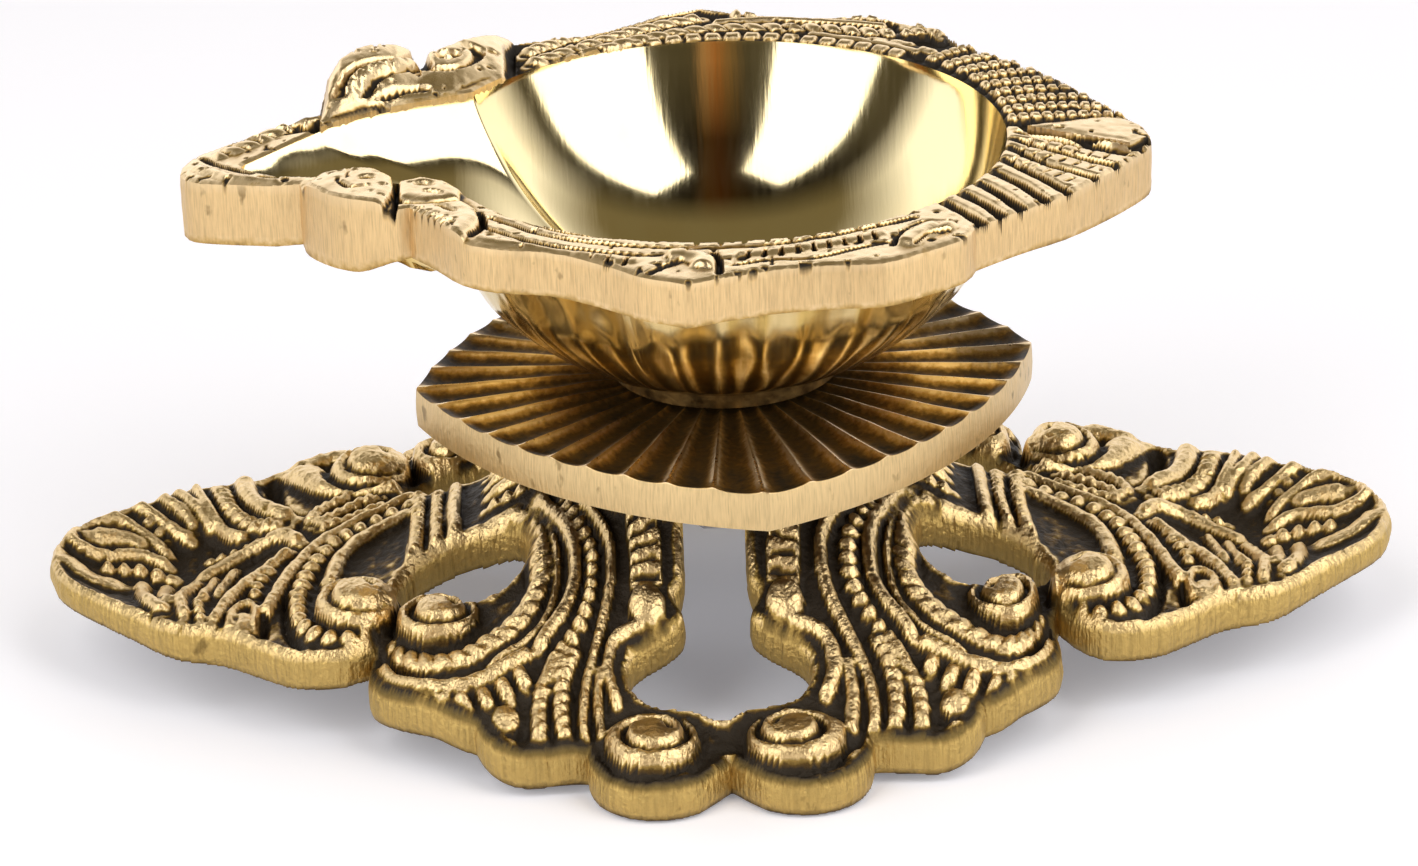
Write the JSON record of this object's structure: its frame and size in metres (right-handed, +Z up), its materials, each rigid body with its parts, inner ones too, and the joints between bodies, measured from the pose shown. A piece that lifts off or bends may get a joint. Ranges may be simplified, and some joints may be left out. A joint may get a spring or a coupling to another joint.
{
  "type": "diya oil lamp",
  "caption": "Spouted brass oil bowl with an ornamental rim, on a fluted square plate and a pierced scroll base, held by one centre stud.",
  "frame": {"origin": "centre of the base's plan, on the table", "axes": "+X along the base towards the lamp's shell end, with the spout at -X; +Z up"},
  "size_m": [0.14, 0.088, 0.0579],
  "materials": {
    "bowl_brass": "polished inside, brushed edges, dark patina in the relief",
    "collar_brass": "rough as cast, dark patina",
    "plate_brass": "brushed flats, dark patina in the flutes",
    "base_brass": "antique, burnished high points, dark patina in the relief",
    "fixing_steel": "dull zinc plating"
  },
  "bodies": {
    "stand": {"base": "base_brass"},
    "lamp": {"bowl": "bowl_brass", "foot_collar": "collar_brass", "centre_stud": "fixing_steel", "plain_washer": "fixing_steel", "spring_washer": "fixing_steel", "hex_nut": "fixing_steel"},
    "plate": {"square_plate": "plate_brass"}
  },
  "joints": [
    {"name": "lamp_turn", "type": "hinge", "parent": "stand", "child": "lamp", "pos_m": [0.0011, 0, 0.0222], "axis": [0, 0, 1], "continuous": true},
    {"name": "plate_turn", "type": "hinge", "parent": "lamp", "child": "plate", "pos_m": [0.0011, 0, 0.0276], "axis": [0, 0, 1], "continuous": true}
  ]
}
